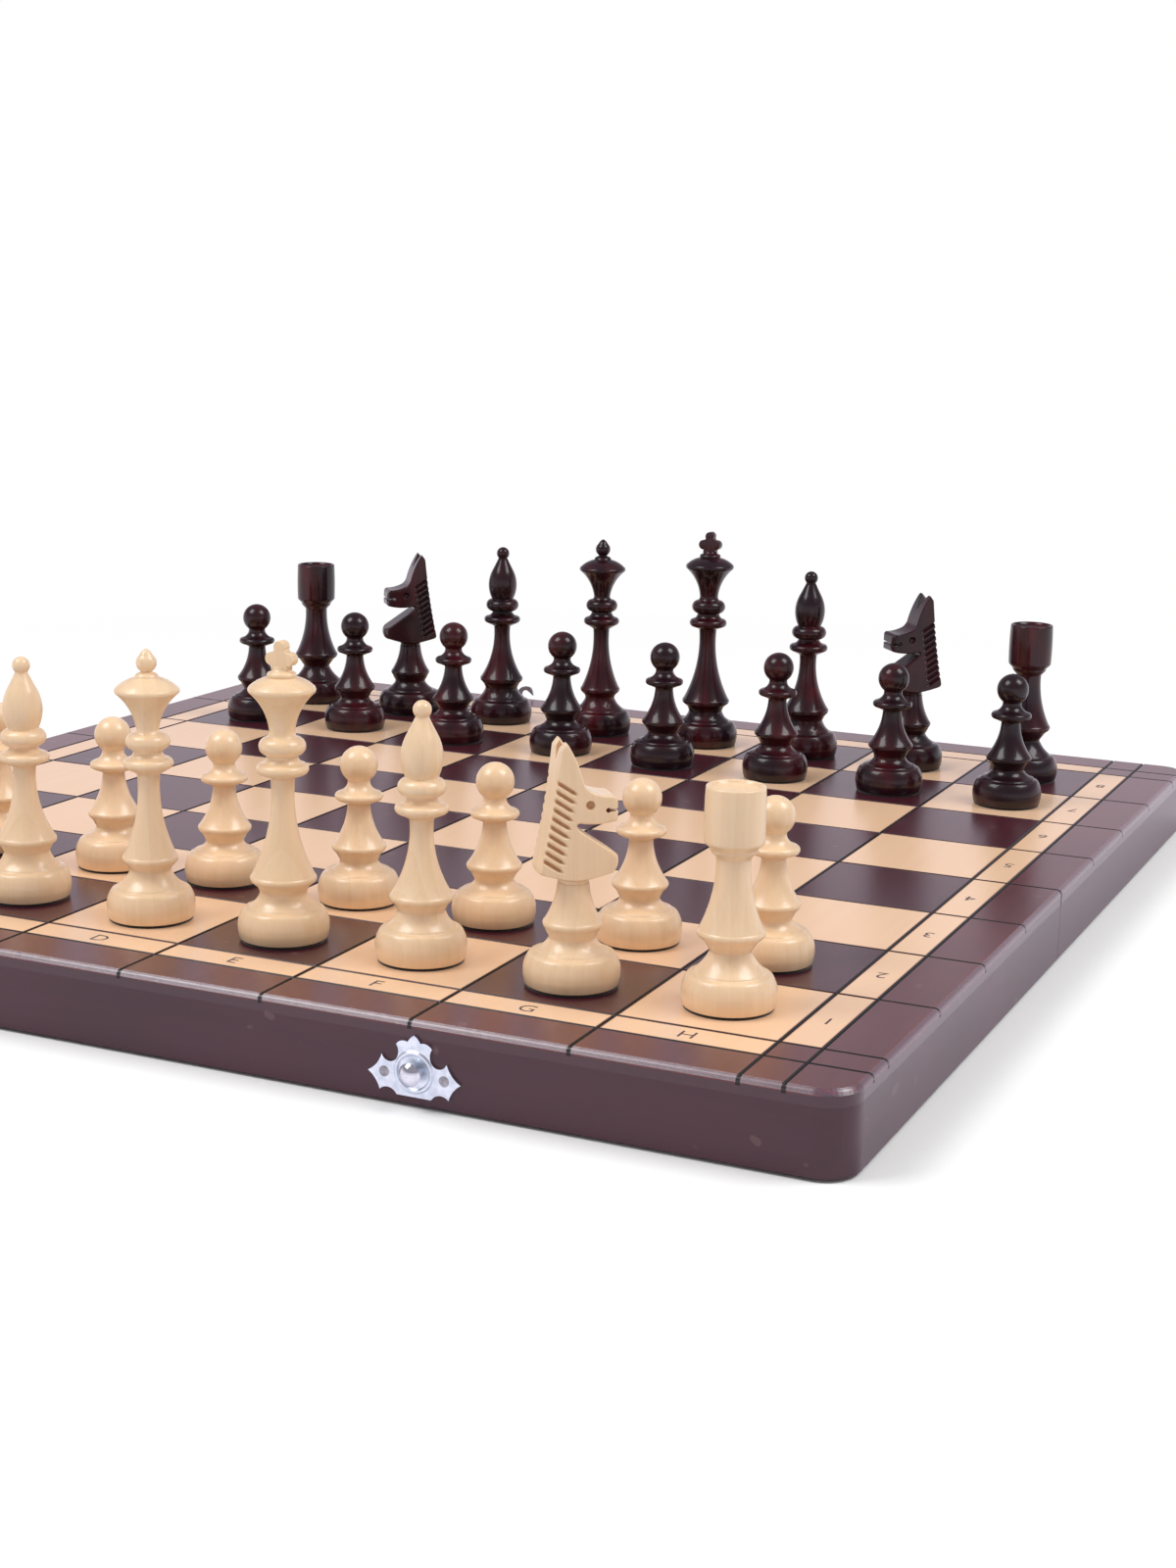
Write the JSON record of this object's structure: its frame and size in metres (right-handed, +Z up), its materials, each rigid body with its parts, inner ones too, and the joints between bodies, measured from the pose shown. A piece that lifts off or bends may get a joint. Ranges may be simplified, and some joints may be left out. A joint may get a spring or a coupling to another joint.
{
  "type": "chess set",
  "caption": "Wooden folding chess board with brown and maple squares, swing-hook latches and turned Staunton chessmen on felt bases.",
  "frame": {"origin": "under the middle of the open board, on the surface it stands on, level with the underside of the hinge barrels", "axes": "+X from the a-file towards the h-file, +Y from rank 1 towards rank 8, +Z up"},
  "size_m": [0.464, 0.475, 0.1217],
  "materials": {
    "panel_wood": "satin lacquer over pale and dark stained squares",
    "wall_wood": "satin lacquer over dark stain",
    "light_men_wood": "satin lacquered pale hornbeam",
    "dark_men_wood": "gloss lacquered near-black stain",
    "lining_felt": "matt felt",
    "hinge_steel": "plated",
    "zinc_plated_steel": "bright zinc plate",
    "polished_steel": "polished"
  },
  "bodies": {
    "near_half": {"near_panel": "panel_wood", "near_front_rail": "wall_wood", "near_left_rail": "wall_wood", "near_right_rail": "wall_wood", "near_hinge_rail": "wall_wood", "near_felt_lining": "lining_felt", "hinge_leaves_near": "hinge_steel", "hinge_pins": "hinge_steel", "hinge_screws_near": "hinge_steel", "stud_plates": "zinc_plated_steel", "latch_studs": "polished_steel", "stud_plate_nails": "zinc_plated_steel"},
    "far_half": {"far_panel": "panel_wood", "far_outer_rail": "wall_wood", "far_left_rail": "wall_wood", "far_right_rail": "wall_wood", "far_hinge_rail": "wall_wood", "far_felt_lining": "lining_felt", "hinge_leaves_far": "hinge_steel", "hinge_screws_far": "hinge_steel", "hook_plates": "zinc_plated_steel", "hook_plate_nails": "zinc_plated_steel", "hook_rivets": "zinc_plated_steel"},
    "hook_left": {"latch_hook_left": "zinc_plated_steel"},
    "hook_right": {"latch_hook_right": "zinc_plated_steel"},
    "white_rook_a_man": {"white_rook_a": "light_men_wood"},
    "white_knight_b_man": {"white_knight_b": "light_men_wood"},
    "white_bishop_c_man": {"white_bishop_c": "light_men_wood"},
    "white_queen_man": {"white_queen": "light_men_wood"},
    "white_king_man": {"white_king": "light_men_wood"},
    "white_bishop_f_man": {"white_bishop_f": "light_men_wood"},
    "white_knight_g_man": {"white_knight_g": "light_men_wood"},
    "white_rook_h_man": {"white_rook_h": "light_men_wood"},
    "white_pawn_a_man": {"white_pawn_a": "light_men_wood"},
    "white_pawn_b_man": {"white_pawn_b": "light_men_wood"},
    "white_pawn_c_man": {"white_pawn_c": "light_men_wood"},
    "white_pawn_d_man": {"white_pawn_d": "light_men_wood"},
    "white_pawn_e_man": {"white_pawn_e": "light_men_wood"},
    "white_pawn_f_man": {"white_pawn_f": "light_men_wood"},
    "white_pawn_g_man": {"white_pawn_g": "light_men_wood"},
    "white_pawn_h_man": {"white_pawn_h": "light_men_wood"},
    "black_rook_a_man": {"black_rook_a": "dark_men_wood"},
    "black_knight_b_man": {"black_knight_b": "dark_men_wood"},
    "black_bishop_c_man": {"black_bishop_c": "dark_men_wood"},
    "black_queen_man": {"black_queen": "dark_men_wood"},
    "black_king_man": {"black_king": "dark_men_wood"},
    "black_bishop_f_man": {"black_bishop_f": "dark_men_wood"},
    "black_knight_g_man": {"black_knight_g": "dark_men_wood"},
    "black_rook_h_man": {"black_rook_h": "dark_men_wood"},
    "black_pawn_a_man": {"black_pawn_a": "dark_men_wood"},
    "black_pawn_b_man": {"black_pawn_b": "dark_men_wood"},
    "black_pawn_c_man": {"black_pawn_c": "dark_men_wood"},
    "black_pawn_d_man": {"black_pawn_d": "dark_men_wood"},
    "black_pawn_e_man": {"black_pawn_e": "dark_men_wood"},
    "black_pawn_f_man": {"black_pawn_f": "dark_men_wood"},
    "black_pawn_g_man": {"black_pawn_g": "dark_men_wood"},
    "black_pawn_h_man": {"black_pawn_h": "dark_men_wood"}
  },
  "joints": [
    {"name": "board_fold", "type": "hinge", "parent": "near_half", "child": "far_half", "pos_m": [0, 0, 0.0012], "axis": [-1, 0, 0], "range_deg": [0, 180]},
    {"name": "hook_left_swing", "type": "hinge", "parent": "far_half", "child": "hook_left", "pos_m": [-0.102, 0.234, 0.0111], "axis": [0, 1, 0], "range_deg": [-60, 147]},
    {"name": "hook_right_swing", "type": "hinge", "parent": "far_half", "child": "hook_right", "pos_m": [0.102, 0.234, 0.0111], "axis": [0, 1, 0], "range_deg": [-105, 102]},
    {"name": "white_rook_a_lift", "type": "slide", "parent": "near_half", "child": "white_rook_a_man", "axis": [0, 0, 1], "range_m": [0, 0.12]},
    {"name": "white_knight_b_lift", "type": "slide", "parent": "near_half", "child": "white_knight_b_man", "axis": [0, 0, 1], "range_m": [0, 0.12]},
    {"name": "white_bishop_c_lift", "type": "slide", "parent": "near_half", "child": "white_bishop_c_man", "axis": [0, 0, 1], "range_m": [0, 0.12]},
    {"name": "white_queen_lift", "type": "slide", "parent": "near_half", "child": "white_queen_man", "axis": [0, 0, 1], "range_m": [0, 0.12]},
    {"name": "white_king_lift", "type": "slide", "parent": "near_half", "child": "white_king_man", "axis": [0, 0, 1], "range_m": [0, 0.12]},
    {"name": "white_bishop_f_lift", "type": "slide", "parent": "near_half", "child": "white_bishop_f_man", "axis": [0, 0, 1], "range_m": [0, 0.12]},
    {"name": "white_knight_g_lift", "type": "slide", "parent": "near_half", "child": "white_knight_g_man", "axis": [0, 0, 1], "range_m": [0, 0.12]},
    {"name": "white_rook_h_lift", "type": "slide", "parent": "near_half", "child": "white_rook_h_man", "axis": [0, 0, 1], "range_m": [0, 0.12]},
    {"name": "white_pawn_a_lift", "type": "slide", "parent": "near_half", "child": "white_pawn_a_man", "axis": [0, 0, 1], "range_m": [0, 0.12]},
    {"name": "white_pawn_b_lift", "type": "slide", "parent": "near_half", "child": "white_pawn_b_man", "axis": [0, 0, 1], "range_m": [0, 0.12]},
    {"name": "white_pawn_c_lift", "type": "slide", "parent": "near_half", "child": "white_pawn_c_man", "axis": [0, 0, 1], "range_m": [0, 0.12]},
    {"name": "white_pawn_d_lift", "type": "slide", "parent": "near_half", "child": "white_pawn_d_man", "axis": [0, 0, 1], "range_m": [0, 0.12]},
    {"name": "white_pawn_e_lift", "type": "slide", "parent": "near_half", "child": "white_pawn_e_man", "axis": [0, 0, 1], "range_m": [0, 0.12]},
    {"name": "white_pawn_f_lift", "type": "slide", "parent": "near_half", "child": "white_pawn_f_man", "axis": [0, 0, 1], "range_m": [0, 0.12]},
    {"name": "white_pawn_g_lift", "type": "slide", "parent": "near_half", "child": "white_pawn_g_man", "axis": [0, 0, 1], "range_m": [0, 0.12]},
    {"name": "white_pawn_h_lift", "type": "slide", "parent": "near_half", "child": "white_pawn_h_man", "axis": [0, 0, 1], "range_m": [0, 0.12]},
    {"name": "black_rook_a_lift", "type": "slide", "parent": "far_half", "child": "black_rook_a_man", "axis": [0, 0, 1], "range_m": [0, 0.12]},
    {"name": "black_knight_b_lift", "type": "slide", "parent": "far_half", "child": "black_knight_b_man", "axis": [0, 0, 1], "range_m": [0, 0.12]},
    {"name": "black_bishop_c_lift", "type": "slide", "parent": "far_half", "child": "black_bishop_c_man", "axis": [0, 0, 1], "range_m": [0, 0.12]},
    {"name": "black_queen_lift", "type": "slide", "parent": "far_half", "child": "black_queen_man", "axis": [0, 0, 1], "range_m": [0, 0.12]},
    {"name": "black_king_lift", "type": "slide", "parent": "far_half", "child": "black_king_man", "axis": [0, 0, 1], "range_m": [0, 0.12]},
    {"name": "black_bishop_f_lift", "type": "slide", "parent": "far_half", "child": "black_bishop_f_man", "axis": [0, 0, 1], "range_m": [0, 0.12]},
    {"name": "black_knight_g_lift", "type": "slide", "parent": "far_half", "child": "black_knight_g_man", "axis": [0, 0, 1], "range_m": [0, 0.12]},
    {"name": "black_rook_h_lift", "type": "slide", "parent": "far_half", "child": "black_rook_h_man", "axis": [0, 0, 1], "range_m": [0, 0.12]},
    {"name": "black_pawn_a_lift", "type": "slide", "parent": "far_half", "child": "black_pawn_a_man", "axis": [0, 0, 1], "range_m": [0, 0.12]},
    {"name": "black_pawn_b_lift", "type": "slide", "parent": "far_half", "child": "black_pawn_b_man", "axis": [0, 0, 1], "range_m": [0, 0.12]},
    {"name": "black_pawn_c_lift", "type": "slide", "parent": "far_half", "child": "black_pawn_c_man", "axis": [0, 0, 1], "range_m": [0, 0.12]},
    {"name": "black_pawn_d_lift", "type": "slide", "parent": "far_half", "child": "black_pawn_d_man", "axis": [0, 0, 1], "range_m": [0, 0.12]},
    {"name": "black_pawn_e_lift", "type": "slide", "parent": "far_half", "child": "black_pawn_e_man", "axis": [0, 0, 1], "range_m": [0, 0.12]},
    {"name": "black_pawn_f_lift", "type": "slide", "parent": "far_half", "child": "black_pawn_f_man", "axis": [0, 0, 1], "range_m": [0, 0.12]},
    {"name": "black_pawn_g_lift", "type": "slide", "parent": "far_half", "child": "black_pawn_g_man", "axis": [0, 0, 1], "range_m": [0, 0.12]},
    {"name": "black_pawn_h_lift", "type": "slide", "parent": "far_half", "child": "black_pawn_h_man", "axis": [0, 0, 1], "range_m": [0, 0.12]}
  ]
}
